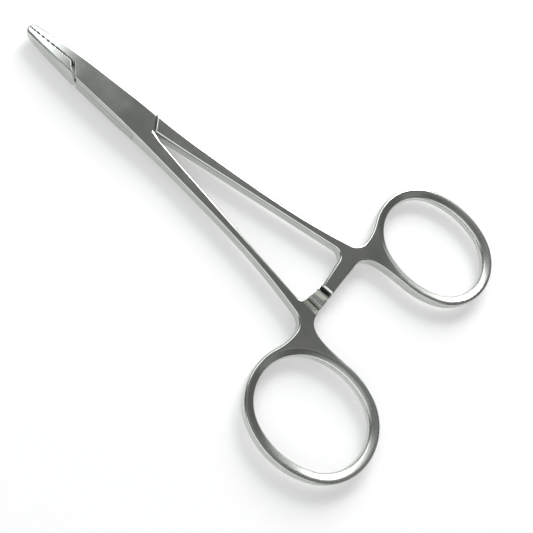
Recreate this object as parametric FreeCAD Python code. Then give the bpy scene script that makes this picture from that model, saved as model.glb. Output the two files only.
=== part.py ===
"""Box-lock needle holder with finger rings and a ratchet, closed on its first tooth.

Frame: +X runs from the pivot to the jaw tips, +Y to the ring of the female half, +Z up.
The origin is on the pivot's axis at the underside of the box. Both halves start as the same
forged blank, one mirrored in the plane between the jaws. The blank is drawn about the middle
plane of the tool and lifted to the frame at the end. Distances behind the pivot are given as
positive lengths.
"""
import math
import os

import FreeCAD
import Part

# Head: jaws and box
TIP_REACH = 28.8  # pivot to the nose of the jaws
NOSE_LENGTH = 1.3  # rounded stretch at the nose
NOSE_BLUNTNESS = 0.6  # share of the nose's length over which its outline still follows the jaw
TIP_WIDTH = 3.1  # both jaws, where the nose starts
TIP_THICKNESS = 3.1
TIP_SLOPE = 0.08  # fall of each jaw face per length, at the nose
FRONT_SHOULDER = 13.9  # pivot to the inner end of the front shoulder
FRONT_SHOULDER_SLANT = 3.3  # how far its outer end lies behind its inner end
FRONT_WIDTH = 6.35  # width of the box at the front shoulder
PIVOT_WIDTH = 7.5
REAR_SHOULDER = 11.1  # pivot to the inner end of the rear shoulder
REAR_SHOULDER_SLANT = 2.8
REAR_WIDTH = 8.35  # width of the box at the rear shoulder
BOX_THICKNESS = 5.1
BOX_FLAT_END = 2.2  # behind the pivot, where the box starts to thin
SHOULDER_GAP = 1.0  # open groove between the box and the shoulders of the other half, at its top
SHOULDER_GAP_FLOOR = 0.45  # the same groove at the tongue's face, so that its far wall slopes
JAW_GAP = 0.1  # between the closed jaw faces

# Tongue, slot and pin
TONGUE_THICKNESS = 1.6
SLOT_CLEARANCE = 0.05  # above and below the tongue
SLOT_END_CLEARANCE = 0.12
PIN_DIAMETER = 2.5
PIN_HEAD_DIAMETER = 3.4
PIN_HEAD_DEPTH = 0.45
PIN_RUNNING_CLEARANCE = 0.04  # radial, in the tongue

# Jaw serrations: two crossing sets of grooves
SERRATION_PITCH = 1.0
SERRATION_DEPTH = 0.24
SERRATION_WIDTH = 0.7  # of a groove at the jaw face
SERRATION_ANGLE = 40.0  # of each set from the length of the jaw, degrees
SERRATION_MARGIN = 0.9  # plain jaw face left beside the shoulder
SMALLEST_NICK = 1e-6  # volume under which a groove's end is left out

# Shanks
SHANK_THICKNESS = 3.2
SHANK_TAPER_END = 23.0  # behind the pivot, where the box has thinned to the shank
SHANK_SPREAD = 8.95  # middle plane to a shank's inner edge, at the ratchet arm
SHANK_SPLIT = 0.2  # between the two shanks where they part
SHANK_NECK_WIDTH = 2.95  # a third of the way along
SHANK_WAIST_WIDTH = 2.2  # at the narrowest place
SHANK_END_WIDTH = 3.1  # at the ratchet arm

# Ratchet arms
ARM_DISTANCE = 69.2  # pivot to the middle of the arm
ARM_ROOT_WIDTH = 4.5
ARM_END_WIDTH = 3.4
ARM_OVERREACH = 1.85  # how far each arm passes the middle plane
ARM_CORNER = 0.5
INNER_FILLET = 2.3  # between shank and arm
TOOTH_PITCH = 2.75
TOOTH_DEPTH = 0.7
TOOTH_COUNT = 3
TOOTH_OFFSET = 0.1  # of the last crest past the middle plane
TOOTH_PASS = 0.05  # from the middle plane to the crests, so that the two rows pass
RAMP_FOOT = 0.45  # flat between the first tooth and the ramp
RAMP_LENGTH = 3.1
TOOTH_CUT_LEAD = 0.1  # how far in front of the arm the cut for the teeth starts

# Finger rings
RING_BEHIND_ARM = 15.6  # middle of the arm to the middle of the finger hole, along X
RING_OFFSET = 28.35  # middle plane to the middle of the finger hole
HOLE_LENGTH = 29.5
HOLE_WIDTH = 23.7
RING_END_WIRE = 2.7  # ring's wall at its two ends
RING_SIDE_WIRE = 3.0  # ring's wall at its sides
HOLE_END_RADIUS = 11.1  # of the hole's arcs at its two ends
OUTER_NECK_RADIUS = 3.9  # between shank and ring
BACK_NECK_START = 8.0  # middle plane to the place where the arm's back turns to the ring
BACK_NECK_DROP = 4.3  # reach of that turn along the arm
BACK_NECK_RUN = 10.5  # reach of that turn along the ring

# Edges
EDGE_BREAK = 0.4  # chamfer along the outer edges of each half
HOLE_SLOPE_WIDTH = 1.45  # of the gentle slope down into the finger hole
HOLE_SLOPE_DEPTH = 0.6
HOLE_STEEP_WIDTH = 0.35  # of the steeper slope that follows it
HOLE_STEEP_DEPTH = 0.7

CUT_PAST = 1.0  # how far cutting shapes reach past the metal
ON_EDGE = 0.002  # how near a rim must lie to an edge of the plan to count as its own

HALF_BOX = BOX_THICKNESS / 2
HALF_SHANK = SHANK_THICKNESS / 2
RING_DISTANCE = ARM_DISTANCE + RING_BEHIND_ARM
RING_HALF_LENGTH = HOLE_LENGTH / 2 + RING_END_WIRE
RING_HALF_WIDTH = HOLE_WIDTH / 2 + RING_SIDE_WIRE
ARM_FRONT = ARM_DISTANCE - ARM_ROOT_WIDTH / 2
ARM_BACK = ARM_DISTANCE + ARM_ROOT_WIDTH / 2
SHANK_RUN = ARM_FRONT - REAR_SHOULDER
FRONT_RUN = FRONT_SHOULDER_SLANT / (FRONT_WIDTH / 2)
REAR_RUN = REAR_SHOULDER_SLANT / (REAR_WIDTH / 2)
CLEAR_OF_ALL = 3 * max(RING_OFFSET + RING_HALF_WIDTH, RING_DISTANCE + RING_HALF_LENGTH)


def vec(x, y, z=0.0):
    return FreeCAD.Vector(x, y, z)


def line(a, b):
    return Part.LineSegment(a, b).toShape()


def curve(points):
    """Smooth curve through the points."""
    spline = Part.BSplineCurve()
    spline.interpolate(points)
    return spline


def bezier(*poles):
    piece = Part.BezierCurve()
    piece.setPoles(list(poles))
    return piece.toShape()


def shank_inner(distance):
    """Inner edge of a shank at a distance behind the pivot."""
    share = (distance - REAR_SHOULDER) / SHANK_RUN
    return SHANK_SPLIT / 2 + share * (SHANK_SPREAD - SHANK_SPLIT / 2)


def split_start():
    """Place between the shanks where they part, on the female half's side."""
    y = SHANK_SPLIT / 2
    return vec(-REAR_SHOULDER - y * REAR_RUN, y)


def flank():
    """Outer edge of the closed tool from the jaw's nose to the ratchet arm."""
    stations = [
        (TIP_REACH - NOSE_LENGTH, TIP_WIDTH / 2),
        (FRONT_SHOULDER - FRONT_SHOULDER_SLANT, FRONT_WIDTH / 2),
        (0.0, PIVOT_WIDTH / 2),
        (REAR_SHOULDER_SLANT - REAR_SHOULDER, REAR_WIDTH / 2),
    ]
    for share, width in ((0.33, SHANK_NECK_WIDTH), (0.68, SHANK_WAIST_WIDTH), (1.0, SHANK_END_WIDTH)):
        distance = REAR_SHOULDER + share * SHANK_RUN
        stations.append((-distance, shank_inner(distance) + width))
    return curve([vec(x, y) for x, y in stations]), stations


def oval(half_length, half_width, end_radius, quarters):
    """Quarters of the ring's four-centred oval, the first from its end beside the shank outwards."""
    end_centre = half_length - end_radius
    side_radius = (end_centre**2 + half_width**2 - end_radius**2) / (half_width - end_radius) / 2
    side_centre = half_width - side_radius
    turn = math.atan2(-side_centre, end_centre)
    between = (turn + math.pi / 2) / 2
    quarter = [
        (half_length, 0),
        (end_centre + end_radius * math.cos(turn / 2), end_radius * math.sin(turn / 2)),
        (end_centre + end_radius * math.cos(turn), end_radius * math.sin(turn)),
        (side_radius * math.cos(between), side_centre + side_radius * math.sin(between)),
        (0, half_width),
    ]
    edges = []
    for across, out in [(1, 1), (-1, 1), (-1, -1), (1, -1)][:quarters]:
        p = [vec(across * x - RING_DISTANCE, out * y + RING_OFFSET) for x, y in quarter]
        arcs = [Part.Arc(p[0], p[1], p[2]), Part.Arc(p[2], p[3], p[4])]
        edges += [arc.toShape() for arc in arcs]
    return edges


def handle_edges(end_of_shank, heading):
    """Edges from the end of the shank round the ring and the arm to the shank's inner edge."""
    side = vec(heading.y, -heading.x)
    centre = end_of_shank + side * OUTER_NECK_RADIUS
    valley = centre - vec(OUTER_NECK_RADIUS, 0)
    half_way = (side * -1 + vec(-1, 0)).normalize() * OUTER_NECK_RADIUS + centre
    neck = Part.Arc(end_of_shank, half_way, valley).toShape()
    ring = oval(RING_HALF_LENGTH, RING_HALF_WIDTH, HOLE_END_RADIUS + RING_SIDE_WIRE, 3)
    ring_start = vec(RING_HALF_LENGTH - RING_DISTANCE, RING_OFFSET)
    ring_end = vec(-RING_DISTANCE, RING_OFFSET - RING_HALF_WIDTH)
    rise = (ring_start.y - valley.y) / 2
    cheek = bezier(valley, valley + vec(0, rise), ring_start - vec(0, rise), ring_start)
    arm_back = vec(-ARM_BACK, BACK_NECK_START)
    back_neck = bezier(
        ring_end,
        ring_end + vec(BACK_NECK_RUN, 0),
        arm_back + vec(0, BACK_NECK_DROP),
        arm_back,
    )
    return [neck, cheek] + ring + [back_neck] + arm_edges(arm_back)


def rounded(before, corner, after, radius):
    """Fillet arc at a corner, with the two places where it starts and ends."""
    a = (before - corner).normalize()
    b = (after - corner).normalize()
    half = a.getAngle(b) / 2
    reach = radius / math.tan(half)
    middle = (a + b).normalize() * (radius / math.sin(half) - radius)
    first = corner + a * reach
    last = corner + b * reach
    return first, Part.Arc(first, corner + middle, last).toShape(), last


def arm_edges(arm_back):
    """The arm's back, end and front, and the shank's inner edge as far as the place where it starts."""
    end_back = vec(-ARM_DISTANCE - ARM_END_WIDTH / 2 - (ARM_ROOT_WIDTH - ARM_END_WIDTH) / 2, -ARM_OVERREACH)
    end_front = vec(end_back.x + ARM_END_WIDTH, -ARM_OVERREACH)
    corner = vec(-ARM_FRONT, shank_inner(ARM_FRONT))
    split = split_start()
    a0, arc_a, a1 = rounded(arm_back, end_back, end_front, ARM_CORNER)
    b0, arc_b, b1 = rounded(end_back, end_front, corner, ARM_CORNER)
    c0, arc_c, c1 = rounded(end_front, corner, split, INNER_FILLET)
    return [line(arm_back, a0), arc_a, line(a1, b0), arc_b, line(b1, c0), arc_c, line(c1, split)]


def blank_edges():
    """Plan of the female blank: its jaw below the middle plane, its shank above it.

    The first list holds the edges that stay sharp, the second those that are broken.
    """
    outer, stations = flank()
    nose, front, _, rear = stations[:4]
    below = curve([vec(x, -y) for x, y in stations])
    jaw_y = -JAW_GAP / 2
    tip = vec(TIP_REACH, jaw_y)
    nose_start = vec(nose[0], -nose[1])
    slope = below.tangent(below.parameter(nose_start))[0]
    if slope.x < 0:
        slope = slope * -1
    nose_edge = bezier(
        nose_start,
        nose_start + slope * (NOSE_LENGTH * NOSE_BLUNTNESS),
        tip - vec(0, TIP_WIDTH / 2 * NOSE_BLUNTNESS),
        tip,
    )
    front_outer = vec(front[0], front[1])
    front_inner = vec(FRONT_SHOULDER - FRONT_RUN * jaw_y, jaw_y)
    rear_outer = vec(rear[0], -rear[1])
    u_nose = below.parameter(nose_start)
    u_rear = below.parameter(rear_outer)
    flank_below = below.toShape(min(u_nose, u_rear), max(u_nose, u_rear))
    shank_end = vec(*stations[-1])
    u_front = outer.parameter(front_outer)
    u_end = outer.parameter(shank_end)
    flank_above = outer.toShape(min(u_front, u_end), max(u_front, u_end))
    heading = outer.tangent(u_end)[0]
    if heading.x > 0:
        heading = heading * -1
    handle = handle_edges(shank_end, heading)
    hard = [line(tip, front_inner), line(front_inner, front_outer), line(split_start(), rear_outer)]
    return hard, [nose_edge, flank_above, flank_below] + handle


def side_profile():
    """Solid with the tool's thickness along its length, far wider than the tool."""
    tip_x = TIP_REACH + NOSE_LENGTH
    tip_z = TIP_THICKNESS / 2 - TIP_SLOPE * NOSE_LENGTH
    flat_front = FRONT_SHOULDER - FRONT_SHOULDER_SLANT
    third = (tip_x - flat_front) / 3
    thin = SHANK_TAPER_END
    taper = thin - BOX_FLAT_END
    far = -RING_DISTANCE - RING_HALF_LENGTH - CUT_PAST

    def face_side(sign):
        def at(x, z):
            return vec(x, -CLEAR_OF_ALL, sign * z)

        return [
            line(at(far, HALF_SHANK), at(-thin, HALF_SHANK)),
            bezier(
                at(-thin, HALF_SHANK),
                at(-thin + taper * 0.4, HALF_SHANK),
                at(-BOX_FLAT_END - taper * 0.15, HALF_BOX),
                at(-BOX_FLAT_END, HALF_BOX),
            ),
            line(at(-BOX_FLAT_END, HALF_BOX), at(flat_front, HALF_BOX)),
            bezier(
                at(flat_front, HALF_BOX),
                at(flat_front + third, HALF_BOX),
                at(tip_x - third, tip_z + TIP_SLOPE * third),
                at(tip_x, tip_z),
            ),
            line(at(tip_x, tip_z), at(tip_x, 0)),
            line(at(far, HALF_SHANK), at(far, 0)),
        ]

    wire = Part.Wire(Part.__sortEdges__(face_side(1) + face_side(-1)))
    return Part.Face(wire).extrude(vec(0, 2 * CLEAR_OF_ALL, 0))


def rim_edges(body, plan_edges):
    """Edges of the body's two faces that lie over the given edges of its plan."""
    plan = Part.Compound(plan_edges)
    rims = []
    for edge in body.Edges:
        middle = (edge.FirstParameter + edge.LastParameter) / 2
        place = edge.valueAt(middle)
        upright = abs(edge.tangentAt(middle).z) > 0.8
        if not upright and plan.distToShape(Part.Vertex(place.x, place.y, 0))[0] < ON_EDGE:
            rims.append(edge)
    return rims


def hole_cutter():
    """Solid that opens the finger hole and slopes both its rims towards the finger."""
    steep_top = HALF_SHANK - HOLE_SLOPE_DEPTH
    slope_width = HOLE_STEEP_WIDTH + HOLE_SLOPE_WIDTH
    profile = [
        (0, steep_top - HOLE_STEEP_DEPTH),
        (HOLE_STEEP_WIDTH, steep_top),
        (slope_width, HALF_SHANK),
        (slope_width, HALF_SHANK + CUT_PAST),
    ]
    profile = [(wider, -z) for wider, z in reversed(profile)] + profile
    wires = []
    for wider, z in profile:
        rim = oval(HOLE_LENGTH / 2 + wider, HOLE_WIDTH / 2 + wider, HOLE_END_RADIUS + wider, 4)
        wire = Part.Wire(Part.__sortEdges__(rim))
        wire.translate(vec(0, 0, z))
        wires.append(wire)
    return Part.makeLoft(wires, True, True)


def blank():
    """Forged blank of the female half, about the middle plane, with its edges broken."""
    hard, soft = blank_edges()
    face = Part.Face(Part.Wire(Part.__sortEdges__(hard + soft)))
    face.translate(vec(0, 0, -BOX_THICKNESS))
    body = face.extrude(vec(0, 0, 2 * BOX_THICKNESS)).common(side_profile()).Solids[0]
    body = body.makeChamfer(EDGE_BREAK, rim_edges(body, soft))
    return body.cut(hole_cutter())


def block(low_plan, low, high_plan, high):
    """Solid between a polygon at one height and one with as many corners at another."""
    wires = []
    for plan, z in ((low_plan, low), (high_plan, high)):
        points = [vec(point.x, point.y, z) for point in plan]
        wires.append(Part.makePolygon(points + points[:1]))
    return Part.makeLoft(wires, True, True)


def between_shoulders(front_side, gap):
    """Plan polygon between two lines as slanted as the shoulders, moved outwards by a gap.

    front_side is +1 for the male half's own shoulders and -1 for the ends of its tongue.
    """
    wide = 2 * REAR_WIDTH
    front = FRONT_SHOULDER + gap * math.hypot(1, FRONT_RUN)
    rear = -REAR_SHOULDER - gap * math.hypot(1, REAR_RUN)
    front_shift = front_side * FRONT_RUN * wide
    rear_shift = front_side * REAR_RUN * wide
    return [
        vec(front - front_shift, wide),
        vec(rear - rear_shift, wide),
        vec(rear + rear_shift, -wide),
        vec(front + front_shift, -wide),
    ]


def tooth_cutter():
    """What is taken off the top of the female arm: a ramp, then a row of teeth.

    Each tooth rises towards the arm's own shank and drops steeply there. The row is drawn at the
    arm's middle and widens with the distance from the pivot, so that the crests are radial.
    """
    root = -TOOTH_PASS - TOOTH_DEPTH
    crests = [(TOOTH_COUNT - 1 - k) * TOOTH_PITCH - TOOTH_OFFSET for k in range(TOOTH_COUNT)]
    foot = crests[0] + RAMP_FOOT
    section = [(foot + RAMP_LENGTH, BOX_THICKNESS), (foot + RAMP_LENGTH, HALF_SHANK), (foot, root)]
    for crest in crests:
        section.append((crest, root))
        section.append((crest, -TOOTH_PASS))
    section.append((crests[-1] - TOOTH_PITCH, root))
    section.append((crests[-1] - TOOTH_PITCH, BOX_THICKNESS))
    wires = []
    for distance in (ARM_FRONT - TOOTH_CUT_LEAD, ARM_BACK + CUT_PAST):
        spread = distance / ARM_DISTANCE
        points = [vec(-distance, y * spread, z) for y, z in section]
        wires.append(Part.makePolygon(points + points[:1]))
    return Part.makeLoft(wires, True, True)


def jaw_grooves():
    """Two crossing sets of V grooves in the female jaw's face."""
    face_y = -JAW_GAP / 2
    open_y = JAW_GAP / 2
    start = FRONT_SHOULDER + SERRATION_MARGIN
    length = TIP_REACH - start
    reach = length + BOX_THICKNESS
    half = SERRATION_WIDTH / 2 * (1 + JAW_GAP / SERRATION_DEPTH)
    vee = Part.makePolygon([
        vec(-reach, open_y, -half),
        vec(-reach, face_y - SERRATION_DEPTH, 0),
        vec(-reach, open_y, half),
        vec(-reach, open_y, -half),
    ])
    groove = Part.Face(vee).extrude(vec(2 * reach, 0, 0))
    window = Part.makeBox(length, BOX_THICKNESS, 2 * BOX_THICKNESS, vec(start, -HALF_BOX, -BOX_THICKNESS))
    count = int(reach / SERRATION_PITCH / 2) + 1
    grooves = []
    for turn in (-SERRATION_ANGLE, SERRATION_ANGLE):
        for step in range(-count, count + 1):
            copy = groove.copy()
            copy.translate(vec(0, 0, step * SERRATION_PITCH))
            copy.rotate(vec(0, 0, 0), vec(0, 1, 0), turn)
            copy.translate(vec(start + length / 2, 0, 0))
            copy = copy.common(window)
            if copy.Volume > SMALLEST_NICK:
                grooves.append(copy)
    return grooves


def turned_over(shape):
    """The other half's place: half a turn about the tool's length."""
    copy = shape.copy()
    copy.rotate(vec(0, 0, 0), vec(1, 0, 0), 180)
    return copy


def pin():
    """Pin riveted into a countersink on each face and ground flush."""
    shaft = PIN_DIAMETER / 2
    head = PIN_HEAD_DIAMETER / 2
    under = HALF_BOX - PIN_HEAD_DEPTH
    section = [
        vec(0, 0, -HALF_BOX),
        vec(head, 0, -HALF_BOX),
        vec(shaft, 0, -under),
        vec(shaft, 0, under),
        vec(head, 0, HALF_BOX),
        vec(0, 0, HALF_BOX),
    ]
    return Part.Face(Part.makePolygon(section + section[:1])).revolve(vec(0, 0, 0), vec(0, 0, 1), 360)


def female_half():
    """Jaw, slotted box, shank, arm with its teeth upwards, and ring."""
    slot_half = TONGUE_THICKNESS / 2 + SLOT_CLEARANCE
    plan = between_shoulders(-1, SLOT_END_CLEARANCE)
    slot = block(plan, -slot_half, plan, slot_half)
    body = blank().cut(slot).cut(pin()).cut(tooth_cutter())
    return body.cut(jaw_grooves())


def male_half():
    """Jaw, thin tongue, shank, arm with its teeth downwards, and ring."""
    floor = TONGUE_THICKNESS / 2
    slope = (SHOULDER_GAP - SHOULDER_GAP_FLOOR) / (HALF_BOX - floor)
    top = HALF_BOX + CUT_PAST
    floor_plan = between_shoulders(1, SHOULDER_GAP_FLOOR)
    top_plan = between_shoulders(1, SHOULDER_GAP + slope * CUT_PAST)
    lands = [block(floor_plan, side * floor, top_plan, side * top) for side in (-1, 1)]
    bore = Part.makeCylinder(
        PIN_DIAMETER / 2 + PIN_RUNNING_CLEARANCE, BOX_THICKNESS, vec(0, 0, -HALF_BOX)
    )
    body = turned_over(blank()).cut(lands).cut([bore, turned_over(tooth_cutter())])
    return body.cut([turned_over(groove) for groove in jaw_grooves()])


def main():
    os.makedirs("parts", exist_ok=True)
    pieces = {"female_half": female_half(), "male_half": male_half(), "pivot_pin": pin()}
    for name, shape in pieces.items():
        solid = shape.Solids[0]
        solid.translate(vec(0, 0, HALF_BOX))
        solid.exportStep(f"parts/{name}.step")
        print(name, len(shape.Solids), solid.isValid(), round(solid.Volume, 2))


if __name__ == "__main__":
    main()
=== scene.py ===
# %% [markdown]
# # A needle holder in satin steel
# A needle holder is a surgeon's plier: two forged halves that cross in a box lock, turn on one pin and
# hold themselves shut with a toothed catch between the finger rings. The three solids come from the
# construction, so this script gives them their finish, sets them on a pale table and lights them.

# %% Load the construction
import math

import bmesh
import bpy
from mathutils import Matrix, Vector


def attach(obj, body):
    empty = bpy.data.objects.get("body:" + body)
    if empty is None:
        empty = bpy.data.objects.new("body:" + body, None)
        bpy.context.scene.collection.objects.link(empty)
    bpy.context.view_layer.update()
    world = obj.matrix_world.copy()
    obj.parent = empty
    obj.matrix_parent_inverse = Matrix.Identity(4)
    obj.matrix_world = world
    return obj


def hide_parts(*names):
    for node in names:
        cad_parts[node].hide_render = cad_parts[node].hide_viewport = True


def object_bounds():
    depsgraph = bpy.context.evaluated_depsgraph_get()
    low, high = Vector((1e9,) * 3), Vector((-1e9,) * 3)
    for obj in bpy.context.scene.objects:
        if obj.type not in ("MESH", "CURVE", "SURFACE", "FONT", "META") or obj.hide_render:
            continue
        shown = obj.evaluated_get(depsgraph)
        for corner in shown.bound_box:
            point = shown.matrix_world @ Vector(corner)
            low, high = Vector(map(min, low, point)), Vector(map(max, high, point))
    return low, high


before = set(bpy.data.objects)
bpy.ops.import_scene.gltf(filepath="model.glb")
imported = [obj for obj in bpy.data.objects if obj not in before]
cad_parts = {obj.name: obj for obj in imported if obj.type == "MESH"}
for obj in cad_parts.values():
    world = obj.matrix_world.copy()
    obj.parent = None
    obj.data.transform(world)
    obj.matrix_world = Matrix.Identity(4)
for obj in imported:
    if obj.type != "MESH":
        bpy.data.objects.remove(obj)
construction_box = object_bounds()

MM = 0.001
DEGREE = math.radians(1)
MIDDLE_HEIGHT = construction_box[1][2] / 2
print("nodes:", sorted(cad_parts))
print("the halves mirror each other at a height in mm of", round(MIDDLE_HEIGHT / MM, 3))

# %% [markdown]
# ## The camera
# The instrument was photographed from above and a little to one side, with a normal lens and the picture
# turned so that the jaws point to the upper left. A camera is placed by three things: where it stands,
# the point it looks at and how far it is rolled about its own line of sight. Keeping them apart makes
# each easy to correct by itself.

# %% Camera
CAMERA_PLACE = Vector((-52.87, 80.81, 168.68)) * MM
CAMERA_LOOKS_AT = Vector((-54.42, 7.14, 2.55)) * MM
CAMERA_ROLL = 41.607 * DEGREE
LENS = 49.98
FILM_WIDTH = 36
NEAREST_SEEN = 0.01
FARTHEST_SEEN = 20

bpy.ops.object.select_all(action="DESELECT")
bpy.ops.object.camera_add(location=CAMERA_PLACE)
camera = bpy.context.object
camera.name = "camera"
line_of_sight = (CAMERA_LOOKS_AT - CAMERA_PLACE).to_track_quat("-Z", "Y")
camera.rotation_euler = line_of_sight.to_euler()
camera.rotation_euler.rotate_axis("Z", CAMERA_ROLL)
camera.data.lens = LENS
camera.data.sensor_width = FILM_WIDTH
camera.data.clip_start = NEAREST_SEEN
camera.data.clip_end = FARTHEST_SEEN
bpy.context.scene.camera = camera
print("camera distance in mm:", round((CAMERA_LOOKS_AT - CAMERA_PLACE).length / MM, 1))

# %% [markdown]
# ## Writing materials as sums
# A material is a web of nodes, but most of it is arithmetic. This small class wraps one socket, so that
# `1 - mask` or `grain * 0.2 + 0.3` adds the Math nodes itself, and `node` adds any other kind. Its `step`
# is used everywhere below. It takes four numbers: where a change begins and ends, and what it goes from
# and to. Such a change is kept under a name, so that it can be read and corrected in one place.

# %% Shader arithmetic
class Shade:
    """A value inside a material, which Python's own signs can be used on."""

    def __init__(self, tree, socket=None):
        self.tree = tree
        self.socket = socket

    def node(self, kind, settings=None, values=None, output=0):
        """Adds a node, sets it up, then fills its sockets with numbers or links."""
        made = self.tree.nodes.new("ShaderNode" + kind)
        for name, setting in (settings or {}).items():
            setattr(made, name, setting)
        for name, value in (values or {}).items():
            if isinstance(value, Shade):
                self.tree.links.new(value.socket, made.inputs[name])
            else:
                made.inputs[name].default_value = value
        return Shade(self.tree, made.outputs[output])

    def math(self, operation, *terms):
        return self.node("Math", {"operation": operation}, dict(enumerate(terms)))

    def __add__(self, other):
        return self.math("ADD", self, other)

    def __sub__(self, other):
        return self.math("SUBTRACT", self, other)

    def __rsub__(self, other):
        return self.math("SUBTRACT", other, self)

    def __mul__(self, other):
        return self.math("MULTIPLY", self, other)

    def __pow__(self, other):
        return self.math("POWER", self, other)

    __radd__ = __add__
    __rmul__ = __mul__

    def step(self, low, high, start=0.0, end=1.0):
        """Goes smoothly from start to end while this value goes from low to high."""
        edges = {"From Min": low, "From Max": high, "To Min": start, "To Max": end}
        return self.node("MapRange", {"interpolation_type": "SMOOTHSTEP"}, {"Value": self, **edges})


def new_material(name):
    """An empty material, with its surface node and a Shade to write it with."""
    material = bpy.data.materials.new(name)
    material.use_nodes = True
    surface = material.node_tree.nodes["Principled BSDF"]
    return material, surface, Shade(material.node_tree)


print("shader arithmetic is ready")

# %% [markdown]
# ## Grain and clouds
# Surgical steel is blasted or brushed after forging, so that it doesn't dazzle under the lamp. A fine
# grain, drawn out a little along the tool as the brush went, breaks the reflections up, and cloudy patches
# from handling change its tone. Both are noise that is read at the metal's own coordinates, so that they
# turn with each half when it opens.

# %% Grain and clouds
GRAIN_SIZE = 0.20 * MM
GRAIN_DETAIL = 2.0
BRUSH_SQUEEZE = (0.3, 1, 1)
CLOUD_SIZE = 7 * MM
CLOUD_DETAIL = 4.0

satin, satin_surface, shade = new_material("satin_steel")
place = shade.node("TexCoord", output="Object")
along = shade.node("Mapping", {}, {"Vector": place, "Scale": BRUSH_SQUEEZE})
grain = shade.node("TexNoise", {}, {"Vector": along, "Scale": 1 / GRAIN_SIZE, "Detail": GRAIN_DETAIL})
cloud = shade.node("TexNoise", {}, {"Vector": place, "Scale": 1 / CLOUD_SIZE, "Detail": CLOUD_DETAIL})
print("sizes in mm: grain", round(GRAIN_SIZE / MM, 2), "and clouds", round(CLOUD_SIZE / MM, 2))

# %% [markdown]
# ## Softened edges
# Light doesn't break off sharply along an edge of ground steel. A Bevel node turns the normals near the
# edges without adding a face. The rings are nearly round wire on the real tool, so it reaches much further
# there, and fades out towards their necks. The pin is ground flush with the box, and its rim must not
# show, so there is no softening around it.

# %% Softened edges
EDGE_SOFTNESS = 0.12 * MM
RING_SOFTNESS = 0.85 * MM
RING_SOFT_ALONG = (-82 * MM, -72 * MM)
FLUSH_AROUND_PIN = (2.2 * MM, 2.8 * MM)
SOFT_SAMPLES = 16

x_here, y_here, z_here = (shade.node("SeparateXYZ", {}, {"Vector": place}, axis) for axis in "XYZ")
from_pin = shade.math("SQRT", x_here ** 2 + y_here ** 2)
softening = from_pin.step(*FLUSH_AROUND_PIN, 0, EDGE_SOFTNESS)
softening = softening + x_here.step(*RING_SOFT_ALONG, RING_SOFTNESS, 0)
rounded = shade.node("Bevel", {"samples": SOFT_SAMPLES}, {"Radius": softening})
print("softened over in mm:", [round(reach / MM, 2) for reach in (EDGE_SOFTNESS, RING_SOFTNESS)])

# %% [markdown]
# ## Worn edges and a painted highlight
# Along the edges the satin is worn, so the metal there is smoother. Its colour there is a shade lighter,
# partly for that wear and partly as a painted highlight for the bright line that an edge catches. The line
# is found by comparing the true normal with a rounded one, because they part only near an edge. The grain
# then breaks the line up, since nothing wears evenly.

# %% Worn edges and painted highlight
WEAR_AND_HIGHLIGHT_WIDTH = 0.22 * MM
WEAR_AND_HIGHLIGHT_SAMPLES = 8
WORN_AND_HIGHLIT_BY_AGREEMENT = (0.86, 0.995, 1, 0)
WORN_AND_HIGHLIT_BY_GRAIN = (0.35, 0.6, 0.5, 1)

wear_and_highlight_reach = from_pin.step(*FLUSH_AROUND_PIN, 0, WEAR_AND_HIGHLIGHT_WIDTH)
wide_round = shade.node("Bevel", {"samples": WEAR_AND_HIGHLIGHT_SAMPLES}, {"Radius": wear_and_highlight_reach})
true_normal = shade.node("NewGeometry", output="Normal")
both_normals = {0: true_normal, 1: wide_round}
agreement = shade.node("VectorMath", {"operation": "DOT_PRODUCT"}, both_normals, "Value")
# Partly wear, partly a painted highlight: this mask lightens the colour along every edge.
worn_and_highlit = agreement.step(*WORN_AND_HIGHLIT_BY_AGREEMENT) * grain.step(*WORN_AND_HIGHLIT_BY_GRAIN)
print("edges are worn over in mm:", round(WEAR_AND_HIGHLIGHT_WIDTH / MM, 2))

# %% [markdown]
# ## Painted shade in the seam of the slot
# Where the tongue slides in its slot the narrow gap lies in shade, and that shade is painted into the
# colour as a thin dark line. It follows the slot's two long edges on each side of the box, so it is
# drawn by its height above and below the middle, and only beside the box.

# %% Painted shade in the seam of the slot
SLOT_HALF_HEIGHT = 0.82 * MM
SEAM_BY_HEIGHT = (0.06 * MM, 0.12 * MM, 0.9, 0)
SEAM_FROM_REAR = (-8.7 * MM, -8.4 * MM, 0, 1)
SEAM_TO_FRONT = (11.3 * MM, 11.6 * MM, 1, 0)
SEAM_ON_FLANKS = (2.4 * MM, 2.6 * MM, 0, 1)

from_middle = shade.math("ABSOLUTE", z_here - MIDDLE_HEIGHT)
from_slot_edge = shade.math("ABSOLUTE", from_middle - SLOT_HALF_HEIGHT)
beside_box = x_here.step(*SEAM_FROM_REAR) * x_here.step(*SEAM_TO_FRONT)
beside_box = beside_box * shade.math("ABSOLUTE", y_here).step(*SEAM_ON_FLANKS)
# Painted shade: the slot's gap is darkened in the colour along its two long edges.
seam_shade = from_slot_edge.step(*SEAM_BY_HEIGHT) * beside_box
print("seam in mm from the middle height:", round(SLOT_HALF_HEIGHT / MM, 2))

# %% [markdown]
# ## Satin steel
# The parts come together here. Bare metal is fully metallic, and all that shows of it is its colour,
# how soft its gloss is and how its normals turn. The colour starts as clean steel and is lightened where
# hands have been. Along the edges it is lightened again, partly for wear and partly as a painted
# highlight, and along the seam it ends in painted shade. The rings are a little rougher than the rest,
# which blurs the room in their curves as a matt finish does.

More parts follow.
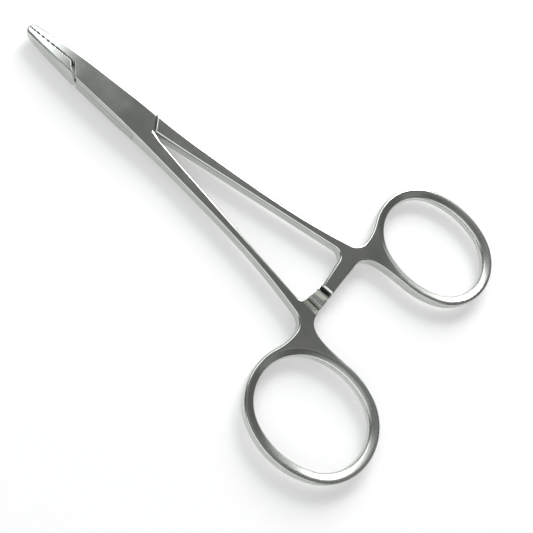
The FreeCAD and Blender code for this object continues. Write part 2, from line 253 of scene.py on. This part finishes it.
# %% Satin steel
STEEL = (0.568, 0.590, 0.552, 1)
STEEL_HANDLED = (0.640, 0.658, 0.622, 1)
STEEL_WORN_AND_HIGHLIT = (0.76, 0.765, 0.74, 1)
SEAM_SHADE = (0.10, 0.10, 0.09, 1)
HANDLED_BY_CLOUD = (0.35, 0.7, 0, 0.8)
HANDLED_BY_GRAIN = (0.3, 0.7, -0.2, 0.25)
GRAIN_DEPTH = 0.02 * MM
GRAIN_STRENGTH = 0.14
ROUGHNESS = 0.12
CLOUD_ROUGHER = 0.06
GRAIN_ROUGHER = 0.06
WORN_SMOOTHER = 0.04
ROUGHER_BY_RING = (-84 * MM, -74 * MM, 0.10, 0)

handled = cloud.step(*HANDLED_BY_CLOUD) + grain.step(*HANDLED_BY_GRAIN)
tone = shade.node("MixRGB", {}, {"Fac": handled, "Color1": STEEL, "Color2": STEEL_HANDLED})
# Partly wear, partly a painted highlight: the edges are lightened in the colour.
tone = shade.node("MixRGB", {}, {"Fac": worn_and_highlit, "Color1": tone, "Color2": STEEL_WORN_AND_HIGHLIT})
# Painted shade along the slot's seam.
tone = shade.node("MixRGB", {}, {"Fac": seam_shade, "Color1": tone, "Color2": SEAM_SHADE})
relief = {"Strength": GRAIN_STRENGTH, "Distance": GRAIN_DEPTH, "Height": grain, "Normal": rounded}
bump = shade.node("Bump", {}, relief)
roughness = ROUGHNESS + CLOUD_ROUGHER * cloud + GRAIN_ROUGHER * grain - WORN_SMOOTHER * worn_and_highlit
roughness = roughness + x_here.step(*ROUGHER_BY_RING)
satin_surface.inputs["Metallic"].default_value = 1.0
satin.node_tree.links.new(tone.socket, satin_surface.inputs["Base Color"])
satin.node_tree.links.new(roughness.socket, satin_surface.inputs["Roughness"])
satin.node_tree.links.new(bump.socket, satin_surface.inputs["Normal"])
print("satin steel has", len(satin.node_tree.nodes), "nodes")

# %% [markdown]
# ## Rounded edges
# A forged half has no knife edges: a wheel takes them off all round, and what stays is a soft band that
# draws a dark line or a bright one along every side. The construction has a narrow flat there. A bevel
# whose width is set edge by edge turns its two corners into one round. The rings are rounder than the
# shanks, because they are what the fingers touch, and the edge behind the box gets a broad bevel that
# catches the light. The teeth, the pin and the jaw faces stay crisp. An edge is told by where its middle
# lies and by the angle between its two faces.

# %% Edges that stay crisp
PIN_WITHIN = 2.5
JAWS_AHEAD_OF = 11
JAW_FACES_WITHIN = 0.5
TEETH_ALONG = (-72.5, -65.0)
TEETH_WITHIN = 6.5
TEETH_BELOW = 1.55


def inside(value, span):
    """Tells whether a value lies inside a span."""
    return span[0] < value < span[1]


def stays_crisp(x, y, height):
    """The rim of the pin, the jaw faces and the teeth keep their edges. All is in mm."""
    by_pin = math.hypot(x, y) < PIN_WITHIN
    on_jaw_face = x > JAWS_AHEAD_OF and abs(y) < JAW_FACES_WITHIN
    on_teeth = inside(x, TEETH_ALONG) and abs(y) < TEETH_WITHIN and height < TEETH_BELOW
    return by_pin or on_jaw_face or on_teeth


print("teeth stay crisp in mm along:", TEETH_ALONG)

# %% The edge behind the box
SHOULDER_START = (-11.7, -0.59)
SHOULDER_SLANT = 0.653
SHOULDER_NEAR = 0.25
SHOULDER_ALONG = (-12.2, -9.2)
SHOULDER_ABOVE = 1.5


def on_shoulder(x, y, height):
    """Tells whether a place in mm is on the slanted edge behind the box."""
    off_line = x - SHOULDER_START[0] + (y - SHOULDER_START[1]) * SHOULDER_SLANT
    near_line = abs(off_line) < SHOULDER_NEAR and inside(x, SHOULDER_ALONG)
    return near_line and height > SHOULDER_ABOVE


print("the edge behind the box starts in mm at:", SHOULDER_START)

# %% Which edges are rounded, and how much
SHANK_ROUND = 0.22
RING_ROUND = 0.26
HOLE_ROUND = 0.20
SLOT_ROUND = 0.07
SHOULDER_ROUND = 0.5

SHARPER_THAN = 60
SLOT_ALONG = (-8.6, 11.5)
SLOT_ACROSS = (2.5, 4.4)
SLOT_BELOW = 0.95
FLAT_CORNER = (44, 46)
BENT_FLAT_CORNER = (36, 52)
SHANKS_AHEAD_OF = -66
RINGS_BEHIND = -76
HOLE_CORNER = (15, 75)
HOLES_BEHIND = -72
HOLE_TOPS_BEHIND = -68
HOLE_TOPS_BEYOND = 12


def blend(value, low, high):
    """Goes from 0 to 1 while the value goes from low to high."""
    return min(1.0, max(0.0, (value - low) / (high - low)))


def edge_round(edge, name):
    """How wide an edge's bevel is, in mm, from its place and its angle."""
    if len(edge.link_faces) != 2:
        return 0.0
    middle = (edge.verts[0].co + edge.verts[1].co) / 2 / MM
    angle = edge.calc_face_angle() / DEGREE
    x, y, height = middle.x, middle.y, abs(middle.z - MIDDLE_HEIGHT / MM)
    if stays_crisp(x, y, height):
        return 0.0
    if name == "male_half" and angle > SHARPER_THAN and on_shoulder(x, y, height):
        return SHOULDER_ROUND
    by_slot = inside(x, SLOT_ALONG) and inside(abs(y), SLOT_ACROSS) and height < SLOT_BELOW
    if by_slot and angle > SHARPER_THAN:
        return SLOT_ROUND
    if inside(angle, FLAT_CORNER) or (x > SHANKS_AHEAD_OF and inside(angle, BENT_FLAT_CORNER)):
        return SHANK_ROUND + (RING_ROUND - SHANK_ROUND) * blend(-x, -SHANKS_AHEAD_OF, -RINGS_BEHIND)
    by_hole = x < HOLES_BEHIND or (x < HOLE_TOPS_BEHIND and abs(y) > HOLE_TOPS_BEYOND)
    if by_hole and inside(angle, HOLE_CORNER):
        return HOLE_ROUND
    return 0.0


print("widths in mm:", SHANK_ROUND, RING_ROUND, HOLE_ROUND, SLOT_ROUND, SHOULDER_ROUND)

# %% Rounding one half
MERGE_WITHIN = 0.002 * MM
FLAT_WITHIN = 0.5 * DEGREE
ROUND_STEPS = 3
SMOOTH_BELOW = 28 * DEGREE


def round_edges(node, name):
    """Copies a half, rounds its edges and returns the copy."""
    bpy.ops.object.select_all(action="DESELECT")
    piece = node.copy()
    piece.data = node.data.copy()
    piece.name = name + "_rounded"
    bpy.context.collection.objects.link(piece)
    piece.parent = None
    bpy.context.view_layer.objects.active = piece
    piece.select_set(True)
    bpy.ops.mesh.customdata_custom_splitnormals_clear()
    bpy.ops.object.mode_set(mode="EDIT")
    bpy.ops.mesh.select_all(action="SELECT")
    bpy.ops.mesh.remove_doubles(threshold=MERGE_WITHIN)
    bpy.ops.mesh.dissolve_limited(angle_limit=FLAT_WITHIN)
    mesh = bmesh.from_edit_mesh(piece.data)
    weights = mesh.edges.layers.float.new("bevel_weight_edge")
    widths = [edge_round(edge, name) for edge in mesh.edges]
    for edge, width in zip(mesh.edges, widths):
        edge[weights] = width / SHOULDER_ROUND
    bmesh.update_edit_mesh(piece.data)
    bpy.ops.object.mode_set(mode="OBJECT")
    bevel = piece.modifiers.new("rounded_edges", "BEVEL")
    bevel.limit_method = "WEIGHT"
    bevel.width = SHOULDER_ROUND * MM
    bevel.segments = ROUND_STEPS
    bevel.use_clamp_overlap = False
    bpy.ops.object.modifier_apply(modifier=bevel.name)
    bpy.ops.object.shade_smooth_by_angle(angle=SMOOTH_BELOW)
    print(piece.name, "has", sum(width > 0 for width in widths), "rounded edges")
    return piece


print("a round has", ROUND_STEPS, "steps")

# %% Both halves and the pin
HALVES = {"female_half": "female_side", "male_half": "male_side"}

for name, body in HALVES.items():
    piece = round_edges(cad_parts[name], name)
    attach(piece, body)
    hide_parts(name)
    piece.data.materials.clear()
    piece.data.materials.append(satin)
    leveller = piece.modifiers.new("flat_faces_stay_flat", "WEIGHTED_NORMAL")
    leveller.keep_sharp = True

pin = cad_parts["pivot_pin"]
pin.data.materials.clear()
pin.data.materials.append(satin)
print("in satin steel:", sorted(HALVES), "and the pin")

# %% [markdown]
# ## The table
# The background is white right up to the instrument, and only its shadow is grey. A white that bright
# can't come from the lamps, which would burn the steel out. Instead the table glows for rays from the
# camera, and for rays that the steel reflects, and stays an ordinary pale table for all other light.

# %% Table
TABLE_SIZE = 3.0
TABLE_PALE = (0.8, 0.8, 0.8, 1)
GLOW_COLOUR = (1, 1, 1, 1)
GLOW_SEEN = 0.29
GLOW_MIRRORED = 0.31

bpy.ops.object.select_all(action="DESELECT")
bpy.ops.mesh.primitive_plane_add(size=TABLE_SIZE, location=(0, 0, 0))
table = bpy.context.object
table.name = "table"
pale, pale_surface, shade = new_material("pale_table")
pale_surface.inputs["Base Color"].default_value = TABLE_PALE
pale_surface.inputs["Roughness"].default_value = 1.0
pale_surface.inputs["Specular IOR Level"].default_value = 0.0
pale_surface.inputs["Emission Color"].default_value = GLOW_COLOUR
seen = shade.node("LightPath", output="Is Camera Ray")
mirrored = shade.node("LightPath", output="Is Glossy Ray")
glow = seen * GLOW_SEEN + mirrored * GLOW_MIRRORED
pale.node_tree.links.new(glow.socket, pale_surface.inputs["Emission Strength"])
table.data.materials.append(pale)
print("table:", TABLE_SIZE, "m square")

# %% [markdown]
# ## The room's light
# Polished and satin metal shows the room more than its own colour, so the room is drawn with care. A dim
# dome keeps the flat tops grey, a little lighter on the viewer's side. A bright patch beyond the jaws
# turns those white. One on the viewer's side lights the rounded edges that face it, and a low strip on
# the far side does the same for the edges there. Each patch is a product of changes along the three
# directions of the room. For rays from the camera the room is plain white, as the table is, so that a
# low view has no grey horizon.

# %% Room light
ROOM_TINT = (1, 1, 1, 1)
JAW_SIDE_TINT = (0.97, 0.99, 1.02, 1)
TINT_BY_X = (0.2, 0.5, 0, 1)
ABOVE_TABLE_BY_Z = (0.05, 0.3, 0, 1)
DOME_BY_Y = (-0.40, -0.24, 0.155, 0.29)
DOME_DIMS_BY_Y = (-0.2, 0.15, 0, -0.16)
NEAR_SIDE_BY_X = (0.45, 0.7, 1, 0)
NEAR_SIDE_BY_Y = (0.34, 0.55, 0, 1.2)
NEAR_SIDE_BY_Z = (0.24, 0.40, 0, 1)
JAW_SIDE_BY_X = ((0.42, 0.505, 0, 2.5), (0.72, 0.85, 1, 0.15))
JAW_SIDE_BY_Y = ((-0.80, -0.65, 0, 1), (-0.15, 0.15, 1, 0))
JAW_SIDE_BY_Z = ((0.40, 0.62, 0.2, 1), (0.78, 0.84, 1, 0.05))
FAR_SIDE_BY_Y = (-0.97, -0.86, 1.2, 0)

world = bpy.data.worlds.new("studio")
bpy.context.scene.world = world
world.use_nodes = True
world_surface = world.node_tree.nodes["Background"]
shade = Shade(world.node_tree)
towards = shade.node("TexCoord", output="Generated")
x, y, z = (shade.node("SeparateXYZ", {}, {"Vector": towards}, axis) for axis in "XYZ")
dome = y.step(*DOME_BY_Y) + y.step(*DOME_DIMS_BY_Y)
near_side = y.step(*NEAR_SIDE_BY_Y) * z.step(*NEAR_SIDE_BY_Z) * x.step(*NEAR_SIDE_BY_X)
jaw_side = x.step(*JAW_SIDE_BY_X[0]) * x.step(*JAW_SIDE_BY_X[1])
jaw_side = jaw_side * y.step(*JAW_SIDE_BY_Y[0]) * y.step(*JAW_SIDE_BY_Y[1])
jaw_side = jaw_side * z.step(*JAW_SIDE_BY_Z[0]) * z.step(*JAW_SIDE_BY_Z[1])
far_side = y.step(*FAR_SIDE_BY_Y)
above_table = z.step(*ABOVE_TABLE_BY_Z)
level = dome + near_side + above_table * (jaw_side + far_side)
seen = shade.node("LightPath", output="Is Camera Ray")
level = level * (1 - seen) + seen
two_tints = {"Fac": x.step(*TINT_BY_X), "Color1": ROOM_TINT, "Color2": JAW_SIDE_TINT}
tint = shade.node("MixRGB", {}, two_tints)
world.node_tree.links.new(tint.socket, world_surface.inputs["Color"])
world.node_tree.links.new(level.socket, world_surface.inputs["Strength"])
print("the room has", len(world.node_tree.nodes), "nodes")

# %% [markdown]
# ## The lamp
# One broad lamp on the far side throws the soft shadow towards the viewer. It is large for its distance,
# so the shadow is dark only where the instrument meets the table.

# %% Lamp
LAMP_DIRECTION = Vector((0.35, -1.0, 0.66))
LAMP_DISTANCE = 1.2
LAMP_SIZE = 0.66
LAMP_POWER = 12

towards_lamp = LAMP_DIRECTION.normalized()
bpy.ops.object.light_add(type="AREA", location=CAMERA_LOOKS_AT + towards_lamp * LAMP_DISTANCE)
lamp = bpy.context.object
lamp.name = "far_lamp"
lamp.rotation_euler = towards_lamp.to_track_quat("Z", "Y").to_euler()
lamp.data.shape = "SQUARE"
lamp.data.size = LAMP_SIZE
lamp.data.energy = LAMP_POWER
print(lamp.name, "stands", LAMP_DISTANCE, "m away")

# %% [markdown]
# ## Finish
# Rounding only takes metal away, so the dressed instrument has to be as large as the construction. The
# plain view transform shows each colour as it was written.

# %% Finish
bpy.context.scene.view_settings.view_transform = "Standard"
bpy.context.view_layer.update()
